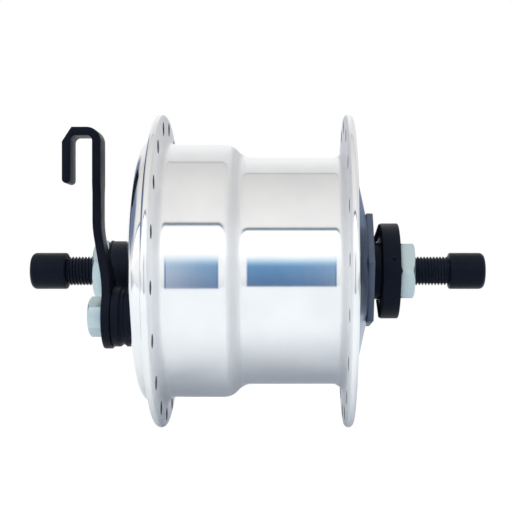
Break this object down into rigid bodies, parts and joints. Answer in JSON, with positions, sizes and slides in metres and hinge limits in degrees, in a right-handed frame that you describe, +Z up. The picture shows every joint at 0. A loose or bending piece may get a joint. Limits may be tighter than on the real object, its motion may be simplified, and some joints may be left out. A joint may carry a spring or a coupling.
{
  "type": "hub dynamo",
  "caption": "Front bicycle hub with a drum brake in its wide end and a claw-pole dynamo in its narrow end, on a threaded axle with locknuts and rubber caps.",
  "frame": {"origin": "on the axle, half way between the outer faces of the two locknuts, where the fork holds the hub", "axes": "+Y along the axle towards the brake, +Z up, -X towards the side that the picture shows"},
  "size_m": [0.1309, 0.1424, 0.0978],
  "materials": {
    "polished_aluminium": "turned and polished, with fine lines round the axle",
    "cast_aluminium": "as cast",
    "black_oxide_steel": "black oxide, lightly oiled",
    "black_coated_steel": "satin black coating",
    "zinc_steel": "pale zinc plate",
    "ground_steel": "ground",
    "spring_steel": "oiled wire",
    "soft_iron": "pressed sheet, dull",
    "liner_iron": "turned bore",
    "magnet_ferrite": "dull ground ferrite",
    "grey_coated_steel": "blue-grey matt coating",
    "cage_brass": "stamped",
    "tinned_brass": "tinned",
    "copper_wire": "enamelled copper",
    "black_plastic": "moulded, fine grain",
    "bobbin_plastic": "moulded",
    "brake_lining": "pressed friction compound",
    "seal_rubber": "smooth",
    "cap_rubber": "smooth, slightly glossy"
  },
  "bodies": {
    "axle_set": {"axle": "black_oxide_steel", "brake_plate": "polished_aluminium", "reaction_arm": "black_coated_steel", "arm_rivets": "zinc_steel", "cam_bush": "black_plastic", "anchor_pin": "ground_steel", "locknut_washer": "black_coated_steel", "brake_locknut": "zinc_steel", "dynamo_locknut": "zinc_steel", "left_inner_race": "ground_steel", "right_inner_race": "ground_steel", "left_spacer": "zinc_steel", "right_spacer": "zinc_steel", "stator_claws_left": "soft_iron", "stator_claws_right": "soft_iron", "stator_core": "soft_iron", "stator_key": "ground_steel", "coil_bobbin": "bobbin_plastic", "coil_winding": "copper_wire", "coil_leads": "copper_wire", "clamp_sleeve": "black_oxide_steel", "terminal_ring": "black_plastic", "terminal_blades": "tinned_brass"},
    "hub": {"hub_shell": "polished_aluminium", "drum_liner": "liner_iron", "flux_ring": "soft_iron", "magnets": "magnet_ferrite", "end_cover": "polished_aluminium", "hex_cap": "grey_coated_steel", "left_outer_race": "ground_steel", "right_outer_race": "ground_steel", "left_seal": "seal_rubber", "right_seal": "seal_rubber", "bearing_circlip": "spring_steel"},
    "left_ball_set": {"left_balls": "ground_steel", "left_cage": "cage_brass"},
    "right_ball_set": {"right_balls": "ground_steel", "right_cage": "cage_brass"},
    "arm_set": {"brake_arm": "black_coated_steel", "cam_spindle": "ground_steel", "cam_nut": "zinc_steel"},
    "upper_shoe_set": {"upper_shoe": "cast_aluminium", "upper_lining": "brake_lining", "cam_spring": "spring_steel", "anchor_spring": "spring_steel"},
    "lower_shoe_set": {"lower_shoe": "cast_aluminium", "lower_lining": "brake_lining"},
    "brake_end_cap": {"brake_cap": "cap_rubber"},
    "dynamo_end_cap": {"dynamo_cap": "cap_rubber"}
  },
  "joints": [
    {"name": "hub_spin", "type": "hinge", "parent": "axle_set", "child": "hub", "pos_m": [0, 0, 0], "axis": [0, 1, 0], "continuous": true},
    {"name": "left_balls_spin", "type": "hinge", "parent": "axle_set", "child": "left_ball_set", "pos_m": [0, 0.01, 0], "axis": [0, 1, 0], "continuous": true},
    {"name": "right_balls_spin", "type": "hinge", "parent": "axle_set", "child": "right_ball_set", "pos_m": [0, -0.028, 0], "axis": [0, 1, 0], "continuous": true},
    {"name": "arm_pivot", "type": "hinge", "parent": "axle_set", "child": "arm_set", "pos_m": [-0.01997, 0.04, -0.01367], "axis": [0, 1, 0], "range_deg": [0, 12], "stiffness_Nm_per_rad": 1.5, "springref_deg": -5.73},
    {"name": "upper_shoe_pivot", "type": "hinge", "parent": "axle_set", "child": "upper_shoe_set", "pos_m": [0.01997, 0.0208, 0.01367], "axis": [0, 1, 0], "range_deg": [0, 1], "deforming": ["cam_spring", "anchor_spring"]},
    {"name": "lower_shoe_pivot", "type": "hinge", "parent": "axle_set", "child": "lower_shoe_set", "pos_m": [0.01997, 0.0208, 0.01367], "axis": [0, 1, 0], "range_deg": [-1, 0]},
    {"name": "brake_cap_pull", "type": "slide", "parent": "axle_set", "child": "brake_end_cap", "axis": [0, 1, 0], "range_m": [0, 0.025]},
    {"name": "dynamo_cap_pull", "type": "slide", "parent": "axle_set", "child": "dynamo_end_cap", "axis": [0, -1, 0], "range_m": [0, 0.025]}
  ],
  "couplings": [
    {"joint": "left_balls_spin", "follows": "hub_spin", "ratio": 0.619},
    {"joint": "right_balls_spin", "follows": "hub_spin", "ratio": 0.619},
    {"joint": "upper_shoe_pivot", "follows": "arm_pivot", "ratio": 0.08264},
    {"joint": "lower_shoe_pivot", "follows": "arm_pivot", "ratio": -0.08264}
  ]
}
